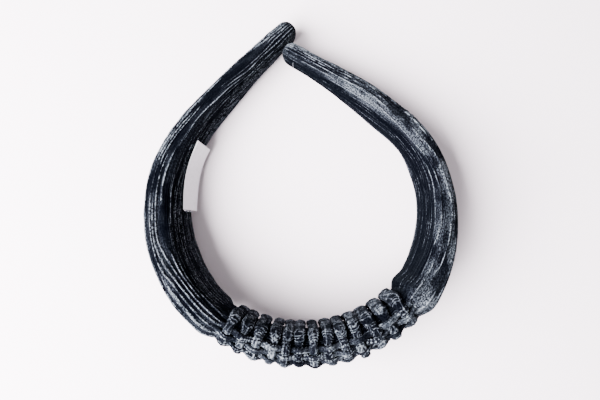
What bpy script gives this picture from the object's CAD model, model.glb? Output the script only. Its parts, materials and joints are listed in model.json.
import json
import logging
import math
from dataclasses import dataclass
from enum import Enum, IntEnum
from typing import Any

import bpy
import numpy as np
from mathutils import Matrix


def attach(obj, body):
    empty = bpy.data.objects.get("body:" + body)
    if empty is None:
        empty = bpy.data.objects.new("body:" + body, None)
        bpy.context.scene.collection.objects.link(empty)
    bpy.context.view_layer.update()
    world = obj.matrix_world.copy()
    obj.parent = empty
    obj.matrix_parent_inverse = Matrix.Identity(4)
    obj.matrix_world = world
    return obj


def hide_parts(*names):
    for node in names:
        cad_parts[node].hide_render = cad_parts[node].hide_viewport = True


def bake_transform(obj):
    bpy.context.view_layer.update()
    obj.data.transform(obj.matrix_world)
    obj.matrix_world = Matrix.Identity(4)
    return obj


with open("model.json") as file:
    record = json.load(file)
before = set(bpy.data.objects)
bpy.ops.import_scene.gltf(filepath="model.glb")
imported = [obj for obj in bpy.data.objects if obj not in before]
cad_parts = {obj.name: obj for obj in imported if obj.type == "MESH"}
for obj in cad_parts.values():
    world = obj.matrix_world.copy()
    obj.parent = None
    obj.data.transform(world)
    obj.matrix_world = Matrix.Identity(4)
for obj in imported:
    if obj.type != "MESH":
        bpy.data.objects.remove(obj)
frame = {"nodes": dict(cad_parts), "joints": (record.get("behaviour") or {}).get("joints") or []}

LOG = logging.getLogger("knotted_headband")
MM = 0.001
Array = np.ndarray
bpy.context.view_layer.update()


# ---------------------------------------------------------------- numbers and noise

def smooth(x: Array | float) -> Array:
    """Smoothstep of x held between 0 and 1."""
    x = np.clip(x, 0.0, 1.0)
    return x * x * (3 - 2 * x)


def stations(at: Array, table: list[tuple[float, float]]) -> Array:
    """Values that pass smoothly through a short table of (place, value).

    Args:
        at: the places asked for.
        table: rising places with their values.
    Returns:
        The values, level beyond the table's ends; a smoothstep joins each pair of places.
    """
    at = np.asarray(at, float)
    out = np.full(at.shape, table[0][1], float)
    for (x0, y0), (x1, y1) in zip(table[:-1], table[1:]):
        out = np.where(at > x0, y0 + (y1 - y0) * smooth((at - x0) / (x1 - x0)), out)
    return out


def noise(u: Array, v: Array, seed: int, around: int = 64, along: int = 64) -> Array:
    """Smooth value noise from 0 to 1 on a lattice that repeats.

    Args:
        u: place in cells across; it repeats every `around` cells.
        v: place in cells along; it repeats every `along` cells.
        seed: seed of the lattice's random values.
        around: cells before the pattern repeats across.
        along: cells before the pattern repeats along.
    Returns:
        Bilinear mix, with smoothstep weights, of the four lattice values round each place.
    """
    u, v = np.broadcast_arrays(u, v)
    lattice = np.random.default_rng(seed).random((around, along))
    i, j = np.floor(u).astype(int), np.floor(v).astype(int)
    f, g = smooth(u - i), smooth(v - j)
    i0, i1, j0, j1 = i % around, (i + 1) % around, j % along, (j + 1) % along
    low = lattice[i0, j0] * (1 - f) + lattice[i1, j0] * f
    high = lattice[i0, j1] * (1 - f) + lattice[i1, j1] * f
    return low * (1 - g) + high * g


def crest(phase: Array, sharp: float) -> Array:
    """Rounded ridges: a raised cosine of the phase, in turns, to the power sharp."""
    return (0.5 + 0.5 * np.cos(2 * np.pi * phase)) ** sharp


def facing(angle: Array, start: float, run: float) -> Array:
    """How far a place round the section faces out.

    Args:
        angle: angle round the section, in radians.
        start: sine of the angle up to which the value is 0.
        run: rise of the sine over which the value climbs to 1.
    Returns:
        A smoothstep of the sine: 0 on the inner face, 1 on the dome.
    """
    return smooth((np.sin(angle) - start) / run)


class Seed(IntEnum):
    """First seeds of the knot's noises, with room after each for one per strand."""

    FOLD_DRIFT = 40
    FOLD_SHAKE = 60
    FOLD_STRENGTH = 80
    LOOP_LEAN = 120
    RIB_DRIFT = 140
    RIB_STRENGTH = 160
    LOOP_WIDTH = 180
    STRAP_DRIFT = 200
    STRAP_STRENGTH = 240
    RIDGE_DRIFT = 260
    RIDGE_STRENGTH = 280
    WRAP_DRIFT = 300
    LOOP_STAND = 421


# ---------------------------------------------------------------- the band's own shape

@dataclass(frozen=True)
class Section:
    """Padded section, in millimetres; each field is a number or an array along the band."""

    half: Array
    dome: Array
    depth: Array
    height: Array
    side_pow: float = 0.8
    face_pow: float = 0.6

    @classmethod
    def of(cls, width: Array, thickness: Array, mid: float = 0.36) -> "Section":
        """Section of that full width and thickness, widest at the share mid of its thickness."""
        return cls(width / 2, thickness * (1 - mid), thickness * mid, thickness * mid)

    def outline(self, angle: Array, grow: Array | float = 0.0) -> tuple[Array, Array]:
        """Outline grown by a distance, at angles in radians: 0 the top edge, pi/2 the dome.

        Returns:
            Height off the inner face and place across. Both are powers of the sine and
            cosine: a rounded box that is puffed outside and flat inside.
        """
        c, q = np.cos(angle), np.sin(angle)
        up = (self.dome + grow) * np.abs(q) ** self.side_pow
        down = (self.depth + grow) * np.abs(q) ** self.face_pow
        across = (self.half + grow) * np.sign(c) * np.abs(c) ** self.side_pow
        return self.height + np.where(q >= 0, up, -down), across

    def face(self, across: Array) -> Array:
        """Height of the inner face at a place across: the outline's lower branch."""
        share = np.clip(1 - np.abs(across / self.half) ** (2 / self.side_pow), 0, 1)
        return self.height - self.depth * share ** (self.face_pow / 2)


@dataclass(frozen=True)
class Arm:
    """One arm: its curve as arcs of (radius, turn in degrees), its length and its padding."""

    sign: int
    body: str
    joint: str
    arcs: tuple[tuple[float, float], ...]
    length: float
    thickness: tuple[tuple[float, float], ...]
    lean: tuple[tuple[float, float], ...]
    core: tuple[tuple[float, float], ...] = ((0.2, 24.0), (0.5, 20.2), (0.68, 15.8), (0.98, 9.0))
    pad: tuple[tuple[float, float], ...] = ((0.2, 7.0), (0.5, 5.6), (0.68, 4.6), (0.98, 3.0))

    def walk(self, s: Array) -> tuple[Array, Array, Array]:
        """Position and heading at distances from the middle of the crown.

        Args:
            s: distances along the inner face, in millimetres, none negative.
        Returns:
            x, y and heading on the right-hand side; arcs follow each other without a kink.
        """
        s = np.asarray(s, float)
        x, y, h = 0.0, -self.arcs[0][0], 0.0
        px, py, ph = np.zeros_like(s), np.zeros_like(s), np.zeros_like(s)
        start = 0.0
        for k, (radius, turn) in enumerate(self.arcs):
            reach = radius * math.radians(turn)
            last = k == len(self.arcs) - 1
            a = (s - start) / radius
            here = (s >= start) & ((s <= start + reach) | last)
            px = np.where(here, x + radius * (np.sin(h + a) - math.sin(h)), px)
            py = np.where(here, y - radius * (np.cos(h + a) - math.cos(h)), py)
            ph = np.where(here, h + a, ph)
            b = h + math.radians(turn)
            x, y = x + radius * (math.sin(b) - math.sin(h)), y - radius * (math.cos(b) - math.cos(h))
            h, start = b, start + reach
        return px, py, ph

    def section(self, s: Array) -> Section:
        """Padded section at distances from the middle of the crown."""
        share = np.asarray(s, float) / self.length
        width = stations(share, list(self.core)) + 2 * stations(share, list(self.pad))
        return Section.of(width, stations(share, list(self.thickness)))

    def roll(self, s: Array) -> Array:
        """Outward lean of the arm's upper edge, in radians."""
        return np.radians(-stations(np.asarray(s, float) / self.length, list(self.lean)))


@dataclass(frozen=True)
class Band:
    """The whole band's curve, placed in the row frame from the two flex joints."""

    crown_r: float = 59.7
    knot_angle: float = 42.0
    pivot_n: float = 2.15
    right: Arm = Arm(
        1, "right_arm", "right_arm_flex", ((59.7, 91.0), (48.5, 43.0), (420.0, 0.0)), 198.0,
        ((0.22, 18.0), (0.5, 12.24), (0.7, 12.24), (1.0, 9.0)),
        ((0.1, 0.0), (0.35, 8.0), (0.6, 6.4), (0.95, 0.0)))
    left: Arm = Arm(
        -1, "left_arm", "left_arm_flex", ((59.7, 88.0), (69.0, 49.0), (900.0, 0.0)), 210.0,
        ((0.22, 17.5), (0.48, 17.5), (0.72, 11.9), (1.0, 9.0)),
        ((0.1, 0.0), (0.42, 10.0), (0.66, 7.0), (0.95, 0.0)))

    @property
    def knot_half(self) -> float:
        """Half the knot's length along the crown's inner face, in millimetres."""
        return self.crown_r * math.radians(self.knot_angle)

    def joint(self, name: str) -> dict:
        """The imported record's joint of that name."""
        return next(j for j in frame["joints"] if j["name"] == name)

    def tilt(self) -> float:
        """How far the band tips forward on its edge: the lean of the flex axes from upright."""
        axis = self.joint(self.left.joint)["axis"]
        return math.atan2(axis[1], axis[2])

    def turned(self, p: Array) -> Array:
        """Points of the band's own frame turned about X by the tilt, tips down."""
        c, q = math.cos(self.tilt()), math.sin(self.tilt())
        return np.stack([p[..., 0], p[..., 1] * c + p[..., 2] * q,
                         p[..., 2] * c - p[..., 1] * q], -1)

    def shift(self) -> Array:
        """Offset from the tilted band to the row frame, in millimetres: the joint's place
        in the row frame less its place on the band."""
        r, a = self.crown_r + self.pivot_n, math.radians(self.knot_angle)
        own = self.turned(np.array([r * math.sin(a), -r * math.cos(a), 0.0]))
        return np.array(self.joint(self.right.joint)["pos_m"]) / MM - own

    def place(self, s: Array, n: Array, z: Array, rolled: bool = True) -> Array:
        """Points of the row frame, in metres, for places on the band.

        Args:
            s: distance along the inner face from the middle of the crown, right positive.
            n: height off the inner face, outward positive.
            z: place across the band, up positive.
            rolled: whether the arm's lean is applied.
        Returns:
            Points: the curve's point plus n along its outward normal and z upward, with n
            and z turned by the lean, then tilted and shifted.
        """
        s, n, z = np.broadcast_arrays(*(np.asarray(q, float) for q in (s, n, z)))
        right, left = self.right.walk(np.abs(s)), self.left.walk(np.abs(s))
        pos = s >= 0
        x = np.where(pos, right[0], -left[0])
        y = np.where(pos, right[1], left[1])
        h = np.where(pos, right[2], -left[2])
        roll = np.where(pos, self.right.roll(np.abs(s)), self.left.roll(np.abs(s)))
        roll = roll if rolled else 0.0 * roll
        n, z = n * np.cos(roll) - z * np.sin(roll), n * np.sin(roll) + z * np.cos(roll)
        own = np.stack([x + np.sin(h) * n, y - np.cos(h) * n, z], -1)
        return (self.turned(own) + self.shift()) * MM


BAND = Band()


# ---------------------------------------------------------------- meshes

def strip_faces(rows: int, cols: int, round_cols: bool, round_rows: bool) -> Array:
    """Quads of a grid of points.

    Args:
        rows: rows of points.
        cols: columns of points.
        round_cols: whether each row closes on itself.
        round_rows: whether the last row joins the first.
    Returns:
        The row and column of each quad's four corners, of shape (rows, cols, 4, 2). The
        corner after the last row or column has that next number, not yet wrapped to 0.
    """
    last_row, last_col = rows - (not round_rows), cols - (not round_cols)
    i, j = np.meshgrid(np.arange(last_row), np.arange(last_col), indexing="ij")
    return np.stack([np.stack([i, j], -1), np.stack([i + 1, j], -1),
                     np.stack([i + 1, j + 1], -1), np.stack([i, j + 1], -1)], 2)


def grid_piece(name: str, points: Array, uv: Array, values: dict[str, Array], *,
               round_cols: bool = True, round_rows: bool = False, ends: bool = True,
               flip: bool = False) -> bpy.types.Object:
    """Object from a grid of points.

    Args:
        name: name of the object and its mesh.
        points: array of shape (rows, cols, 3), in metres.
        uv: array of shape (rows + 1, cols + 1, 2) of the pattern's own coordinates.
        values: named arrays of shape (rows, cols) kept as point attributes.
        round_cols: whether each row closes on itself.
        round_rows: whether the last row joins the first.
        ends: whether open ends of a tube are closed with a pole.
        flip: whether the faces are turned over.
    Returns:
        The linked object, shaded smooth.
    """
    rows, cols = points.shape[:2]
    cells = strip_faces(rows, cols, round_cols, round_rows).reshape(-1, 4, 2)
    quads = (cells[..., 0] % rows) * cols + cells[..., 1] % cols
    loops_uv = uv[cells[..., 0], cells[..., 1]]
    if flip:
        quads, loops_uv = quads[:, ::-1], loops_uv[:, ::-1]
    verts = points.reshape(-1, 3)
    faces, texture = quads.tolist(), loops_uv.reshape(-1, 2)
    kept = {key: np.ravel(value) for key, value in values.items()}
    if ends and round_cols and not round_rows:
        for row, turn in ((0, flip), (rows - 1, not flip)):
            pole = len(verts)
            verts = np.vstack([verts, points[row].mean(0)])
            a = row * cols + np.arange(cols)
            b = row * cols + (np.arange(cols) + 1) % cols
            tris = np.stack([np.full(cols, pole), a, b] if turn else
                            [np.full(cols, pole), b, a], 1)
            faces += tris.tolist()
            texture = np.vstack([texture, np.repeat(uv[row:row + 1, :cols].mean(1), 3 * cols, 0)])
            kept = {key: np.append(value, value[a].mean()) for key, value in kept.items()}
    mesh = bpy.data.meshes.new(name)
    mesh.from_pydata(verts, [], faces)
    mesh.polygons.foreach_set("use_smooth", np.ones(len(faces), bool))
    layer = mesh.uv_layers.new(name="cloth")
    layer.data.foreach_set("uv", texture.astype(np.float32).ravel())
    for key, value in kept.items():
        mesh.attributes.new(key, "FLOAT", "POINT").data.foreach_set("value", value.astype(np.float32))
    mesh.update()
    piece = bpy.data.objects.new(name, mesh)
    bpy.context.scene.collection.objects.link(piece)
    return piece


# ---------------------------------------------------------------- shader writing

class Value:
    """A shader socket that can be used in Python arithmetic; each operator adds a Math node."""

    def __init__(self, finish: "Material", socket: Any) -> None:
        """Wraps a socket of a material that is being written."""
        self.finish, self.socket = finish, socket

    def math(self, operation: str, *others: Any, clamp: bool = False) -> "Value":
        """Math node of that operation on this value and others."""
        node = self.finish.node("ShaderNodeMath", {"operation": operation, "use_clamp": clamp},
                                {i: v for i, v in enumerate((self, *others))})
        return Value(self.finish, node.outputs[0])

    def __add__(self, other: Any) -> "Value":
        """Sum."""
        return self.math("ADD", other)

    def __sub__(self, other: Any) -> "Value":
        """Difference."""
        return self.math("SUBTRACT", other)

    def __mul__(self, other: Any) -> "Value":
        """Product."""
        return self.math("MULTIPLY", other)

    def __rsub__(self, other: Any) -> "Value":
        """Difference, reflected."""
        return self.finish.constant(other).math("SUBTRACT", self)

    __radd__, __rmul__ = __add__, __mul__

    def clamp(self) -> "Value":
        """This value held between 0 and 1."""
        return self.math("ADD", 0.0, clamp=True)

    def step(self, low: float, high: float) -> "Value":
        """Smoothstep of this value from low to high."""
        node = self.finish.node("ShaderNodeMapRange", {"interpolation_type": "SMOOTHSTEP"},
                                {"Value": self, "From Min": low, "From Max": high})
        return Value(self.finish, node.outputs["Result"])


class Material:
    """A material being written: nodes are added by one method and joined by values."""

    def __init__(self, name: str) -> None:
        """Makes an empty material with a Principled shader."""
        self.material = bpy.data.materials.new(name)
        self.material.use_nodes = True
        self.tree = self.material.node_tree
        self.shader = self.tree.nodes["Principled BSDF"]

    def node(self, kind: str, settings: dict[str, Any] | None = None,
             sockets: dict[Any, Any] | None = None) -> Any:
        """Adds a node.

        Args:
            kind: the node's type.
            settings: its own settings, set before its sockets.
            sockets: values or links by socket name or number.
        Returns:
            The node.
        """
        made = self.tree.nodes.new(kind)
        for key, value in (settings or {}).items():
            setattr(made, key, value)
        for key, value in (sockets or {}).items():
            self.feed(made.inputs[key], value)
        return made

    def feed(self, socket: Any, value: Any) -> None:
        """Sets a socket to a number or colour, or links it."""
        if isinstance(value, Value):
            self.tree.links.new(value.socket, socket)
        elif isinstance(value, bpy.types.NodeSocket):
            self.tree.links.new(value, socket)
        else:
            socket.default_value = value

    def constant(self, number: float) -> Value:
        """A number as a value."""
        made = self.node("ShaderNodeValue")
        made.outputs[0].default_value = number
        return Value(self, made.outputs[0])

    def attribute(self, name: str) -> Value:
        """A point attribute of the mesh."""
        return Value(self, self.node("ShaderNodeAttribute", {"attribute_name": name}).outputs["Fac"])

    def cloth(self, scale: tuple[float, float]) -> Any:
        """The cloth's own coordinates in millimetres, scaled along and across."""
        uv = self.node("ShaderNodeUVMap", {"uv_map": "cloth"})
        made = self.node("ShaderNodeMapping", {}, {"Vector": uv.outputs[0], "Scale": (*scale, 1.0)})
        return made.outputs[0]

    def noise(self, vector: Any, scale: float, detail: float = 2.0, rough: float = 0.5) -> Value:
        """Noise texture's factor at a vector."""
        made = self.node("ShaderNodeTexNoise", {}, {"Vector": vector, "Scale": scale,
                                                    "Detail": detail, "Roughness": rough})
        return Value(self, made.outputs["Fac"])

    def mix(self, factor: Value, low: Any, high: Any) -> Any:
        """Mix of two colours."""
        made = self.node("ShaderNodeMix", {"data_type": "RGBA"}, {0: factor, 6: low, 7: high})
        return made.outputs[2]

    def bump(self, height: Value, distance: float, strength: float = 1.0) -> Any:
        """Bump of a height, in units of distance metres."""
        made = self.node("ShaderNodeBump", {}, {"Strength": strength, "Distance": distance,
                                                "Height": height})
        return made.outputs[0]

    def finish(self, **sockets: Any) -> bpy.types.Material:
        """Feeds the shader's sockets, spaces in their names written as underscores."""
        for key, value in sockets.items():
            self.feed(self.shader.inputs[key.replace("_", " ")], value)
        return self.material


Colour = tuple[float, float, float, float]


@dataclass(frozen=True)
class Velvet:
    """Crushed velvet: near black where the pile stands, pale where a ridge has crushed it.

    Attributes:
        name: the material's name.
        deep: colour of the standing pile.
        body: colour of half crushed pile.
        pale: colour of crushed pile.
        ground: paleness that is there everywhere.
        line: how strongly the crests of pleats and ruches show.
        fleck: how strongly the paleness breaks up into flecks.
        base: paleness kept between the flecks.
        sheen: the fibres' glow at grazing angles.
    """

    name: str
    deep: Colour = (0.0002, 0.0003, 0.0009, 1.0)
    body: Colour = (0.0090, 0.0106, 0.0150, 1.0)
    pale: Colour = (0.113, 0.126, 0.148, 1.0)
    ground: float = 0.035
    line: float = 1.0
    fleck: float = 1.45
    base: float = 0.16
    sheen: float = 0.015

    def make(self) -> bpy.types.Material:
        """Writes the material: colour from the mesh's crest and nap attributes and noise."""
        m = Material(self.name)
        ridge, nap = m.attribute("crest"), m.attribute("nap")
        streak = m.noise(m.cloth((0.22, 1.1)), 1.0, 3.0, 0.6).step(0.36, 0.60)
        grain = m.noise(m.cloth((1.3, 1.9)), 1.0, 3.0, 0.75)
        pile = m.noise(m.cloth((4.5, 5.5)), 1.0, 2.0, 0.6)
        patch = m.noise(m.cloth((0.07, 0.13)), 1.0, 2.0, 0.5).step(0.38, 0.62)
        lines = ridge.step(0.36, 0.96) * (streak * 0.75 + 0.25) * (nap * 0.70 + 0.30) * self.line
        flat = nap * (patch * 0.22 + 0.06) + self.ground
        flecks = grain.step(0.38, 0.64) * self.fleck + self.base
        light = ((lines + flat) * flecks).clamp()
        colour = m.mix(light.step(0.02, 0.34), self.deep, self.body)
        colour = m.mix(light.step(0.14, 0.92), colour, self.pale)
        return m.finish(
            Base_Color=colour, Roughness=0.78, Specular_IOR_Level=0.0,
            Sheen_Weight=self.sheen, Sheen_Roughness=0.4, Sheen_Tint=(0.55, 0.66, 0.80, 1.0),
            Normal=m.bump(pile * 0.6 + grain * 0.8, 0.00028))


@dataclass(frozen=True)
class Satin:
    """White woven ribbon with a soft lengthwise gloss and a fine rib."""

    name: str
    colour: Colour = (0.68, 0.66, 0.70, 1.0)

    def make(self) -> bpy.types.Material:
        """Writes the material: a fine rib and a slight mottling."""
        m = Material(self.name)
        rib = m.noise(m.cloth((0.4, 6.0)), 1.0, 2.0, 0.5)
        mottle = m.noise(m.cloth((0.5, 0.5)), 1.0, 2.0, 0.5)
        colour = m.mix((rib * 0.5 + mottle * 0.5).step(0.3, 0.7),
                       tuple(c * 0.86 for c in self.colour[:3]) + (1.0,), self.colour)
        return m.finish(Base_Color=colour, Roughness=0.5, Sheen_Weight=0.1,
                        Normal=m.bump(rib, 0.00008))


@dataclass(frozen=True)
class Plain:
    """A plain moulded, foamed or spun material, mottled and pitted at a small scale."""

    name: str
    colour: Colour
    rough: float = 0.5
    scale: float = 900.0
    pit: float = 0.0001

    def make(self) -> bpy.types.Material:
        """Writes the material from noise on Object coordinates."""
        m = Material(self.name)
        where = m.node("ShaderNodeTexCoord").outputs["Object"]
        grain = m.noise(where, self.scale, 3.0, 0.6)
        colour = m.mix(grain.step(0.3, 0.7), tuple(c * 0.85 for c in self.colour[:3]) + (1.0,),
                       self.colour)
        return m.finish(Base_Color=colour, Roughness=grain * 0.1 + self.rough,
                        Normal=m.bump(grain, self.pit))


class Finish(Enum):
    """The finishes of the headband, each with the record's material slot."""

    SLEEVE = ("sleeve_velvet", Velvet("crushed_velvet_arms"))
    KNOT = ("knot_velvet", Velvet("crushed_velvet_knot", ground=0.075, line=1.25, fleck=0.9, base=0.30))
    WRAP = ("wrap_velvet", Velvet("crushed_velvet_under", pale=(0.03, 0.037, 0.045, 1.0)))
    LABEL = ("label_satin", Satin("white_satin"))
    LABEL_THREAD = ("label_thread", Plain("pale_thread", (0.55, 0.55, 0.6, 1.0)))
    DARK_THREAD = ("dark_thread", Plain("navy_thread", (0.01, 0.014, 0.02, 1.0)))
    CORE = ("core_plastic", Plain("strip_plastic", (0.62, 0.62, 0.6, 1.0), 0.35))
    FOAM = ("foam", Plain("pad_foam", (0.75, 0.7, 0.55, 1.0), 0.9, 1500.0, 0.0004))

    def material(self) -> bpy.types.Material:
        """The finish's material, written the first time that it is asked for."""
        return bpy.data.materials.get(self.value[1].name) or self.value[1].make()

    def dress(self, piece: bpy.types.Object) -> None:
        """Gives a new piece this finish and names the record's slot."""
        piece.data.materials.clear()
        piece.data.materials.append(self.material())

    def paint(self, node: str) -> None:
        """Gives a CAD node this finish, through its object's material slots."""
        for held in frame["nodes"][node].material_slots:
            held.material = self.material()


# ---------------------------------------------------------------- velvet over the arms

@dataclass(frozen=True)
class Pleats:
    """One set of lengthwise pleats round a tube.

    Attributes:
        count: pleats round the tube.
        sharp: power that narrows each crest.
        drift: cells round the tube, and length of a cell in millimetres, of the slow noise
            that moves the pleats.
        shake: the same of the quick noise that moves them.
        shake_share: weight of the quick noise beside the slow one.
        centre: sum of the two noises at which a pleat isn't moved.
        move: how far the noises move a pleat, in pleats.
        run: length along the band over which a pleat comes and goes, in millimetres.
        gone: strength below which a pleat is gone.
        rise: strength from there to its full height.
        seeds: seeds of the slow noise, the quick noise and the strength, past the tube's own.
    """

    count: int
    sharp: float
    drift: tuple[int, float]
    shake: tuple[int, float]
    shake_share: float
    centre: float
    move: float
    run: float
    gone: float
    rise: float
    seeds: tuple[int, int, int]

    def crests(self, share: Array, s: Array, seed: int) -> Array:
        """How far each place is up a crest, from 0 to 1.

        Args:
            share: places round the tube, as shares of it, one row.
            s: distances along the band, one column.
            seed: the tube's own seed.
        Returns:
            Raised cosines whose phase is moved by the noises, times each one's strength.
        """
        slow = noise(share * self.drift[0], s / self.drift[1], seed + self.seeds[0], self.drift[0])
        quick = noise(share * self.shake[0], s / self.shake[1], seed + self.seeds[1], self.shake[0])
        wander = slow + self.shake_share * quick
        phase = share * self.count + (wander - self.centre) * self.move
        strong = noise(np.floor(phase + 0.5), s / self.run, seed + self.seeds[2], self.count)
        return crest(phase, self.sharp) * smooth((strong - self.gone) / self.rise)


@dataclass
class Sleeve:
    """Gathered velvet tube over one arm, closed at the tip and pinched under the last loop.

    Attributes:
        arm: the arm that it covers.
        node: the CAD node that it replaces.
        seed: its own seed.
        bulge: how far it swells out just past the pinch.
        crisp: how clearly the coarse pleats show as pale lines on the outer side.
        flat: how pale the velvet between the pleats is on the outer side.
        wall: how pale the fine pleats are on the inner face.
        least: paleness of the nap where it is darkest.
        rows: rings along the tube.
        cols: points round each ring.
        tuck: how far it reaches under the knot's end.
        pinch: how far the last loop draws it in.
        pinch_run: length over which it comes out of the pinch.
        bulge_at: distance from its start to the middle of the bulge.
        bulge_run: half length of the bulge.
        tip_round: length of the rounded tip.
        tip_share: size of the very end of the tip.
        tip_centre: height that the tip closes on, as a share of the widest line's height.
        pleat_height: height of the coarse pleats.
        fine_height: height of the fine pleats.
        lump: height of the padding's unevenness.
        flex_from: start of the stretch that bends with the joint, from the knot's end.
        flex_to: end of that stretch.
    """

    arm: Arm
    node: str
    seed: int
    bulge: float = 1.0
    crisp: float = 1.0
    flat: float = 1.0
    wall: float = 0.8
    least: float = 0.06
    rows: int = 330
    cols: int = 440
    tuck: float = 4.6
    pinch: float = 3.4
    pinch_run: float = 9.0
    bulge_at: float = 9.0
    bulge_run: float = 4.5
    tip_round: float = 5.0
    tip_share: float = 0.3
    tip_centre: float = 1.3
    pleat_height: float = 1.0
    fine_height: float = 0.22
    lump: float = 0.8
    flex_from: float = -5.0
    flex_to: float = 9.0
    coarse: Pleats = Pleats(32, 2.4, (9, 30), (22, 11), 0.4, 0.7, 2.0, 22, 0.12, 0.5, (0, 6, 1))
    fine: Pleats = Pleats(94, 1.3, (16, 36), (40, 9), 0.3, 0.65, 1.8, 15, 0.1, 0.6, (2, 7, 3))

    def tube(self) -> tuple[Array, Array, dict[str, Array]]:
        """Surface of the sleeve.

        Returns:
            Points, pattern coordinates and the crest and nap values. The padded outline is
            carried along the arm; it swells from where the last loop pinches it and rounds
            off at the tip like a quarter ellipse. Lengthwise pleats stand on it as raised
            cosines whose phase wanders and whose height comes and goes.
        """
        arm, first = self.arm, BAND.knot_half - self.tuck
        s = np.linspace(first, arm.length, self.rows)[:, None]
        turn = self.even_angles()[None, :-1]
        share = np.arange(self.cols)[None, :] / self.cols
        section = arm.section(s)
        end = np.clip((s - (arm.length - self.tip_round)) / self.tip_round, 0, 0.995)
        size = self.tip_share + (1 - self.tip_share) * np.sqrt(1 - end ** 2)
        held = 1 - smooth((s - first) / self.pinch_run) ** 0.8
        puffed = np.exp(-((s - first - self.bulge_at) / self.bulge_run) ** 2) * self.bulge
        grow, ridge, nap = self.pleating(s, turn, share)
        grow = grow * (1 - 0.5 * held) * size - held * self.pinch
        grow = grow + puffed * smooth((0.3 - np.sin(turn)) / 0.8)
        n, z = section.outline(turn, grow)
        mid = section.height * self.tip_centre
        n, z = mid + (n - mid) * size, z * size
        points = BAND.place(arm.sign * s, n, z)
        rim = BAND.place(arm.sign * s, *section.outline(turn))
        step = np.linalg.norm(np.diff(rim, axis=1, append=rim[:, :1]), axis=-1) / MM
        around = np.concatenate([[0.0], np.cumsum(np.median(step, 0))])
        uv = np.stack(np.broadcast_arrays(np.vstack([s, s[-1:]]), around[None, :]), -1)
        return points, uv, {"crest": ridge, "nap": nap}

    def even_angles(self) -> Array:
        """Section angles at equal steps round the outline, from the inner face's middle."""
        fine = np.linspace(-np.pi / 2, 1.5 * np.pi, 4001)
        n, z = self.arm.section(np.array(0.5 * self.arm.length)).outline(fine)
        run = np.concatenate([[0], np.cumsum(np.hypot(np.diff(n), np.diff(z)))])
        return np.interp(np.linspace(0, run[-1], self.cols + 1), run, fine)

    def pleating(self, s: Array, turn: Array, share: Array) -> tuple[Array, Array, Array]:
        """Height of the pleats, how far each place is up a crest, and the nap's paleness.

        Args:
            s: distances along the arm, one column.
            turn: angles round the section, one row.
            share: the same places as shares of the tube's pattern.
        Returns:
            Three arrays. Coarse pleats stand mostly on the outer side and fine ones all
            round; value noise adds lumps to the height and patches to the paleness.
        """
        dome = facing(turn, -0.97, 0.6)
        flank = 0.45 * facing(turn, -0.96, 0.6) + 0.55 * facing(turn, -0.25, 0.8)
        big = self.coarse.crests(share, s, self.seed)
        small = self.fine.crests(share, s, self.seed)
        lump = noise(share * 14, s / 15, self.seed + 4, 14) - 0.5
        grow = (big * (0.25 + 0.75 * dome) * self.pleat_height - 0.35 * self.pleat_height * dome
                + small * self.fine_height + lump * (0.3 + 0.7 * dome) * self.lump)
        big_seen = big * (0.45 + 0.55 * dome) * (1 - (1 - self.crisp) * dome)
        ridge = np.clip(big_seen + small * (self.wall + (0.4 - self.wall) * dome), 0, 1)
        patch = noise(share * 8, s / 26, self.seed + 5, 8)
        nap = np.clip(flank * (0.62 + 1.1 * (patch - 0.35)) * self.flat + self.least, 0, 3)
        return grow, ridge, nap

    def build(self) -> bpy.types.Object:
        """Makes the sleeve and bends it across its flex joint."""
        points, uv, values = self.tube()
        piece = grid_piece(self.node + "_velvet", points, uv, values, flip=self.arm.sign > 0)
        Finish.SLEEVE.dress(piece)
        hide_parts(self.node)
        ends = [BAND.place(self.arm.sign * (BAND.knot_half + d), BAND.pivot_n, 0.0)
                for d in (self.flex_from, self.flex_to)]
        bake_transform(piece)
        return piece


# ---------------------------------------------------------------- the knot

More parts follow.
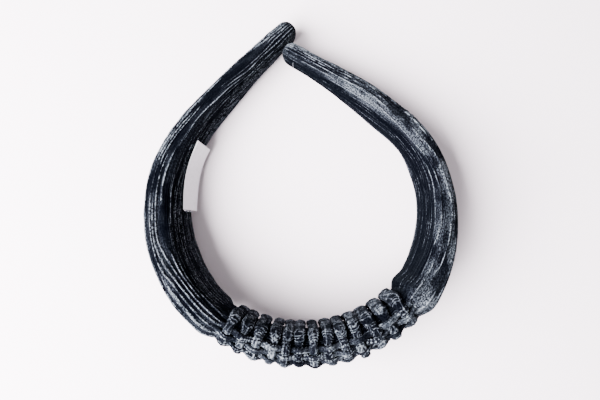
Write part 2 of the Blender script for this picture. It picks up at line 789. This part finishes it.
@dataclass
class Weave:
    """The knot's own sizes: the covered crown, and where loops and straps run on it.

    Attributes:
        width: the covered crown's width.
        thickness: its thickness.
        strand: thickness of a loop or a strap.
        gap: gap between neighbours.
        strap_share: half width of a strap as a share of the distance to the nearer one.
        loop_at: where the loops cross, as shares of half the knot's length.
        strap_at: where the straps run over the dome, as angles round the section.
        waist: a loop's width over the dome as a share of its width inside.
        puff: how much fuller the middle loops are inside.
        loop_sharp: power that narrows a loop's climb round each crossing.
        strap_sharp: the same for a strap.
    """

    width: float = 31.6
    thickness: float = 12.5
    strand: float = 2.3
    gap: float = 0.15
    strap_share: float = 0.39
    loop_at: tuple[float, ...] = (-0.88, -0.74, -0.59, -0.44, -0.31, -0.18, -0.05, 0.10, 0.24,
                                  0.39, 0.55, 0.71, 0.88)
    strap_at: tuple[float, ...] = (6, 24, 44, 66, 90, 114, 136, 156, 174)
    waist: float = 0.62
    puff: float = 1.6
    loop_sharp: float = 1.5
    strap_sharp: float = 2.0

    @property
    def section(self) -> Section:
        """The covered crown's section under the weave."""
        return Section.of(self.width, self.thickness)

    @property
    def rise(self) -> float:
        """Half the height that a strand climbs from under its neighbour to over it."""
        return 0.6 * self.strand + self.gap / 2

    @property
    def base(self) -> float:
        """Height of a strand's middle where it lies on the crown."""
        return self.strand / 2 + self.gap

    def loop_s(self) -> Array:
        """Places of the loops along the crown."""
        return np.array(self.loop_at) * BAND.knot_half

    def loop_half(self, i: int) -> float:
        """Half width of a loop: loops side by side on the inner face just clear each other."""
        s = self.loop_s()
        pitch = min(abs(s[j] - s[i]) for j in (i - 1, i + 1) if 0 <= j < len(s))
        inner = BAND.crown_r - self.strand - self.puff
        return (pitch * inner / BAND.crown_r - self.gap) / 2

    def strap_half(self, j: int) -> float:
        """Half width of a strap, a share of the distance to its nearer neighbour."""
        n, z = self.section.outline(np.radians(self.strap_at), self.base)
        d = [math.hypot(n[k] - n[j], z[k] - z[j]) for k in (j - 1, j + 1) if 0 <= k < len(n)]
        return self.strap_share * min(d)

    def index(self, values: Array, at: Array) -> Array:
        """Place of each value among rising places, as a share of their numbers, run on
        beyond both ends at the end pitch."""
        places = np.asarray(at, float)
        inner = np.interp(values, places, np.arange(len(places)))
        low = (values - places[0]) / (places[1] - places[0])
        high = len(places) - 1 + (values - places[-1]) / (places[-1] - places[-2])
        return np.where(values < places[0], low, np.where(values > places[-1], high, inner))

    def loop_wide(self, i: int, turn: Array) -> Array:
        """Half width of loop i at angles round the section: drawn in to a cord on the dome."""
        return self.loop_half(i) * stations(np.sin(turn), [(-0.6, 1.0), (0.1, self.waist)])

    def lift(self, values: Array, at: Array, sign: int, sharp: float) -> Array:
        """Share of the climb of a strand: up at each crossing that it goes over.

        Args:
            values: places along the strand.
            at: places of the strands that it crosses.
            sign: 1 if it goes over the first one, -1 if under.
            sharp: power that narrows the climb round each crossing.
        Returns:
            A raised cosine of the crossing's number, to a power; it stays down beyond the
            last strand that it goes under and comes down past the last that it goes over.
        """
        past = 1 if sign > 0 else 0
        p = np.clip(self.index(values, at), -past, len(at) - 1 + past)
        return (0.5 + 0.5 * sign * np.cos(np.pi * p)).clip(0, 1) ** sharp

    def full(self, i: int) -> float:
        """How far loop i stands off where it goes over a strap, from 0.45 to 1."""
        return 0.45 + 0.55 * float(smooth(noise(i * 0.77, 0.0, Seed.LOOP_STAND)))

    def loop_rise(self, i: int, turn: Array) -> Array:
        """Height of loop i's middle over the crown at angles round the section; inside the
        band the middle loops are fuller."""
        puff = self.puff * (1 - self.loop_at[i] ** 2) * smooth(-np.sin(turn) / 0.6)
        climb = self.lift(np.degrees(turn), self.strap_at, (-1) ** i, self.loop_sharp)
        return self.base + puff + 2 * self.rise * climb * self.full(i)

    def strap_rise(self, j: int, s: Array) -> Array:
        """Height of strap j's middle over the crown along it: under where a loop is over."""
        climb = self.lift(s, self.loop_s(), -(-1) ** j, self.strap_sharp)
        return self.base + 2 * self.rise * climb


@dataclass
class Loop:
    """One crosswise tube of ruched velvet round the crown."""

    weave: Weave
    number: int
    steps: int = 480
    round_steps: int = 32
    ruche_pitch: float = 1.25
    ruche_height: float = 0.26
    rib_height: float = 0.16

    def tube(self) -> tuple[Array, Array, dict[str, Array]]:
        """Surface of the loop.

        Returns:
            Points, pattern coordinates and the crest and nap values. An ellipse is carried
            round the section; ruches cross it and ribs run along it, both as raised cosines
            with wandering phase, and the whole loop leans and swells a little on its way.
        """
        w, i = self.weave, self.number - 1
        turn = np.linspace(-np.pi / 2, 1.5 * np.pi, self.steps, endpoint=False)
        n, z = w.section.outline(turn, w.loop_rise(i, turn))
        dn, dz = np.roll(n, -1) - np.roll(n, 1), np.roll(z, -1) - np.roll(z, 1)
        length = np.hypot(dn, dz)
        out_n, out_z = -dz / length, dn / length
        sign = np.sign(out_n[self.steps // 2])
        out_n, out_z = out_n[:, None] * sign, out_z[:, None] * sign
        run = np.cumsum(length / 2) - length[0] / 2
        total = run[-1] + length[-1] / 2
        theta = 2 * np.pi * np.arange(self.round_steps) / self.round_steps
        around, along = theta[None, :], (run / total)[:, None]
        lap = around / (2 * np.pi)
        folds = round(total / self.ruche_pitch)
        drift = noise(along * 26, lap * 4 + i * 7, Seed.FOLD_DRIFT + i, 26)
        wander = drift + 0.5 * noise(along * 60, lap * 8 + i, Seed.FOLD_SHAKE + i, 60)
        strong = noise(along * 34, lap * 3 + i * 5, Seed.FOLD_STRENGTH + i, 34)
        fold = crest(along * folds + (wander - 0.75) * 2.2, 1.2) * smooth((strong + 0.05) / 0.5)
        turned = (noise(along * 12, i * 3.0, Seed.RIB_DRIFT + i, 12) - 0.5) * 1.4
        rib = noise(along * 20, lap * 6, Seed.RIB_STRENGTH + i, 20, 6)
        rib = crest(lap * 6 + turned, 1.6) * smooth((rib - 0.1) / 0.5)
        lean = (noise(along * 7, i * 3.0, Seed.LOOP_LEAN + i, 7) - 0.5) * 1.3
        swell = 0.98 + 0.10 * (noise(along * 16, i * 2.0, Seed.LOOP_WIDTH + i, 16) - 0.5)
        wide = w.loop_wide(i, turn)[:, None] * swell
        dome = facing(turn, -0.1, 0.6)[:, None]
        inside = 1 - dome
        off = fold * self.ruche_height * (1 + 0.5 * inside) + rib * self.rib_height - 0.22
        up = (w.strand / 2 + off) * np.sin(around)
        points = BAND.place(w.loop_s()[i] + (wide + off) * np.cos(around) + lean,
                            n[:, None] + out_n * up, z[:, None] + out_z * up, rolled=False)
        outward = smooth(np.sin(around) * 0.6 + 0.45)
        nap = np.clip(outward * (0.5 + 0.5 * dome) * (0.85 + 0.9 * (strong - 0.4)), 0, 1)
        u = np.concatenate([run, [total]])[:, None]
        v = np.linspace(0, 9.0, self.round_steps + 1)[None, :] + i * 11.0
        uv = np.stack(np.broadcast_arrays(u, v), -1)
        return points, uv, {"crest": np.clip(np.maximum(fold * 0.85, rib * 0.8), 0, 1), "nap": nap}

    def build(self) -> bpy.types.Object:
        """Makes the loop on the crown."""
        points, uv, values = self.tube()
        name = f"loop_{self.number:02d}"
        piece = grid_piece(name + "_velvet", points, uv, values, round_rows=True)
        Finish.KNOT.dress(piece)
        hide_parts(name)
        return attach(piece, "crown")


@dataclass
class Strap:
    """One lengthwise strap of velvet woven through the loops."""

    weave: Weave
    number: int
    steps: int = 420
    round_steps: int = 28
    ruche_pitch: float = 1.5
    ruche_height: float = 0.22
    over: float = -0.5
    plump: float = 1.2
    hug: float = 0.7

    def tube(self) -> tuple[Array, Array, dict[str, Array]]:
        """Surface of the strap: an ellipse carried over and under the loops."""
        w, j = self.weave, self.number - 1
        turn = math.radians(w.strap_at[j])
        s = np.linspace(-1, 1, self.steps) * (BAND.knot_half + self.over)
        rise = w.base + (w.strap_rise(j, s) - w.base) * self.hug
        past = np.clip((np.abs(s) - BAND.knot_half + 1.5) / 3.0, 0, 1)
        rise = rise * (1 - past) + w.base * past
        n, z = w.section.outline(turn, rise)
        n1, z1 = w.section.outline(turn + 0.01, w.base)
        n0, z0 = w.section.outline(turn - 0.01, w.base)
        length = math.hypot(n1 - n0, z1 - z0)
        along_n, along_z = (n1 - n0) / length, (z1 - z0) / length
        sign = 1.0 if along_z < 0 else -1.0
        out_n, out_z = -sign * along_z, sign * along_n
        theta = 2 * np.pi * np.arange(self.round_steps) / self.round_steps
        around, run = theta[None, :], (s - s[0])[:, None]
        lap = around / (2 * np.pi)
        wander = noise(run / 3.0, lap * 4 + j * 9, Seed.STRAP_DRIFT + j) - 0.5
        strong = noise(run / 2.2, lap * 3 + j * 5, Seed.STRAP_STRENGTH + j)
        fold = crest(run / self.ruche_pitch + wander * 1.4, 1.3) * smooth((strong - 0.15) / 0.5)
        ridge = crest(lap * 6 + (noise(run / 5, 0.0, Seed.RIDGE_DRIFT + j) - 0.5) * 2.2, 1.2)
        ridge = ridge * smooth((noise(run / 4, lap * 6, Seed.RIDGE_STRENGTH + j) - 0.2) / 0.5)
        off = -0.15 + fold * self.ruche_height + ridge * 0.15
        wide = (w.strap_half(j) * self.plump + off) * np.cos(around)
        up = (w.strand / 2 * 1.1 + off) * np.sin(around)
        points = BAND.place(s[:, None], n[:, None] + along_n * wide + out_n * up,
                            z[:, None] + along_z * wide + out_z * up, rolled=False)
        outward = smooth(np.sin(around) * 0.6 + 0.4) * np.ones_like(run)
        nap = np.clip(outward * (1.15 + 0.8 * (strong - 0.4)), 0, 2)
        u = np.concatenate([run, run[-1:]]) * np.ones((1, self.round_steps + 1))
        v = np.linspace(0, 9.0, self.round_steps + 1)[None, :] + j * 13.0
        uv = np.stack([u, v * np.ones_like(u)], -1)
        return points, uv, {"crest": np.clip(fold * 0.5 + ridge * 0.6, 0, 1), "nap": nap}

    def build(self) -> bpy.types.Object:
        """Makes the strap on the crown."""
        points, uv, values = self.tube()
        name = f"strap_{self.number}"
        piece = grid_piece(name + "_velvet", points, uv, values)
        Finish.KNOT.dress(piece)
        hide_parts(name)
        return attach(piece, "crown")


@dataclass
class Wrap:
    """Velvet that covers the crown under the weave."""

    weave: Weave
    rows: int = 160
    cols: int = 200
    pleats: int = 48
    past: float = 5.0

    def build(self) -> bpy.types.Object:
        """Makes the cover: the crown's section carried along it, with shallow pleats."""
        w = self.weave
        s = np.linspace(-1, 1, self.rows)[:, None] * (BAND.knot_half + self.past)
        turn = np.linspace(-np.pi / 2, 1.5 * np.pi, self.cols, endpoint=False)[None, :]
        share = np.arange(self.cols)[None, :] / self.cols
        wander = (noise(share * 12, s / 12, Seed.WRAP_DRIFT, 12) - 0.5) * 1.2
        fold = crest(share * self.pleats + wander, 1.5)
        n, z = w.section.outline(turn, fold * 0.3 + 0.5 * facing(turn, 0.0, 0.3) - 0.12)
        points = BAND.place(s, n, z, rolled=False)
        uv = np.stack(np.broadcast_arrays(np.vstack([s, s[-1:]]) + 60.0,
                                          np.linspace(0, 90, self.cols + 1)[None, :]), -1)
        nap = np.broadcast_to(facing(turn, 0.1, 0.8) * 0.4, fold.shape)
        piece = grid_piece("crown_wrap_velvet", points, uv, {"crest": fold, "nap": nap})
        Finish.WRAP.dress(piece)
        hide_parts("crown_wrap")
        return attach(piece, "crown")


# ---------------------------------------------------------------- label

@dataclass
class Label:
    """Blank satin label on the left arm's inner face."""

    at: float = 99.0
    length: float = 35.0
    width: float = 15.0
    low: float = 3.5
    off: float = 0.6
    hang: float = 2.4
    rows: int = 90
    cols: int = 40

    def build(self) -> bpy.types.Object:
        """Makes the label: the inner face moved inward, with a soft wave along it."""
        s = np.linspace(self.at, self.at + self.length, self.rows)[:, None]
        v = np.linspace(0, 1, self.cols)[None, :]
        section = BAND.left.section(s)
        z = -section.half + self.low + self.width * v
        wave = 0.5 + 0.5 * np.sin((s - self.at) / self.length * 2.3 * np.pi + v * 1.2)
        n = section.face(z) - self.off - wave * 0.4 - self.hang * (1 - v) ** 1.5
        points = BAND.place(-s, n, z)
        uv = np.stack(np.broadcast_arrays(np.vstack([s, s[-1:]]),
                                          np.linspace(0, self.width, self.cols + 1)[None, :]), -1)
        piece = grid_piece("label_ribbon", points, uv, {}, round_cols=False, ends=False)
        wall = piece.modifiers.new("cloth", "SOLIDIFY")
        wall.thickness, wall.offset = 0.3 * MM, 0.0
        Finish.LABEL.dress(piece)
        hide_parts("label")
        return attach(piece, BAND.left.body)


# ---------------------------------------------------------------- stage

@dataclass
class Studio:
    """Pale floor, soft light from the left, and the camera straight above.

    Attributes:
        height: the camera's height, in metres.
        roll: turn of the picture, in degrees.
        centre: the picture's middle, in millimetres on the band's own plane.
        lens: the camera's focal length.
        key: the key light's power.
        key_size: side of the key light, in metres.
        key_at: its place, in metres.
        sky: strength of the even light.
        paper: colour of the floor.
    """

    height: float = 0.270
    roll: float = 6.03
    centre: tuple[float, float] = (1.86, -3.77)
    lens: float = 30.43
    key: float = 98.0
    key_size: float = 0.7
    key_at: tuple[float, float, float] = (-0.52, -0.14, 0.52)
    sky: float = 0.92
    paper: Colour = (0.73, 0.640, 0.695, 1.0)

    def floor(self) -> None:
        """A wide pale floor just under the object."""
        bpy.ops.mesh.primitive_plane_add(size=6.0, location=(0, 0, 0))
        floor = bpy.context.object
        floor.name = "studio_floor"
        m = Material("floor_paper")
        floor.data.materials.append(m.finish(Base_Color=self.paper, Roughness=0.9))

    def lights(self) -> None:
        """A large key light at the left and an even sky."""
        key = bpy.data.objects.new("key", bpy.data.lights.new("key", "AREA"))
        key.data.energy, key.data.size = self.key, self.key_size
        key.location = self.key_at
        key.rotation_mode = "QUATERNION"
        key.rotation_quaternion = (-key.location).to_track_quat("-Z", "Y")
        bpy.context.scene.collection.objects.link(key)
        world = bpy.data.worlds.new("soft_sky")
        world.use_nodes = True
        world.node_tree.nodes["Background"].inputs[0].default_value = (1.0, 0.985, 1.0, 1.0)
        world.node_tree.nodes["Background"].inputs[1].default_value = self.sky
        bpy.context.scene.world = world

    def camera(self) -> None:
        """Camera looking straight down, turned so that the band leans in the view."""
        turn = math.radians(self.roll)
        x0, y0 = self.centre
        own = np.array([-x0 * math.cos(turn) - y0 * math.sin(turn),
                        x0 * math.sin(turn) - y0 * math.cos(turn)])
        shift = BAND.shift()
        camera = bpy.data.objects.new("camera", bpy.data.cameras.new("camera"))
        camera.location = ((own[0] + shift[0]) * MM, (own[1] + shift[1]) * MM, self.height)
        camera.rotation_euler = (0.0, 0.0, -turn)
        camera.data.lens = self.lens
        camera.data.clip_start = 0.01
        bpy.context.scene.collection.objects.link(camera)
        bpy.context.scene.camera = camera

    def build(self) -> None:
        """Sets the floor, the lights and the camera."""
        self.floor()
        self.lights()
        self.camera()


def dress_hidden_nodes() -> None:
    """Finishes for the CAD nodes that stay: core, foam and stitches."""
    for part in ("crown", "left", "right"):
        Finish.CORE.paint("core_" + part)
        Finish.FOAM.paint("foam_" + part)
    Finish.LABEL_THREAD.paint("label_stitches")
    Finish.DARK_THREAD.paint("tip_stitches_left")
    Finish.DARK_THREAD.paint("tip_stitches_right")


def main() -> None:
    """Builds the headband's pieces in order and reports each one."""
    logging.basicConfig(level=logging.INFO, format="%(name)s: %(message)s")
    Studio().build()
    dress_hidden_nodes()
    weave = Weave()
    makers: list[Sleeve | Wrap | Strap | Loop | Label] = [
        Sleeve(BAND.left, "sleeve_left", seed=11, bulge=0.3, flat=0.30, wall=1.0, least=0.30),
        Sleeve(BAND.right, "sleeve_right", seed=27, bulge=1.6, crisp=0.5, flat=2.9, wall=0.6,
               pleat_height=0.7),
        Wrap(weave)]
    makers += [Strap(weave, j + 1) for j in range(len(weave.strap_at))]
    makers += [Loop(weave, i + 1) for i in range(len(weave.loop_at))]
    makers += [Label()]
    for maker in makers:
        piece = maker.build()
        LOG.info("%s: %d faces", piece.name, len(piece.data.polygons))


if __name__ == "__main__":
    main()
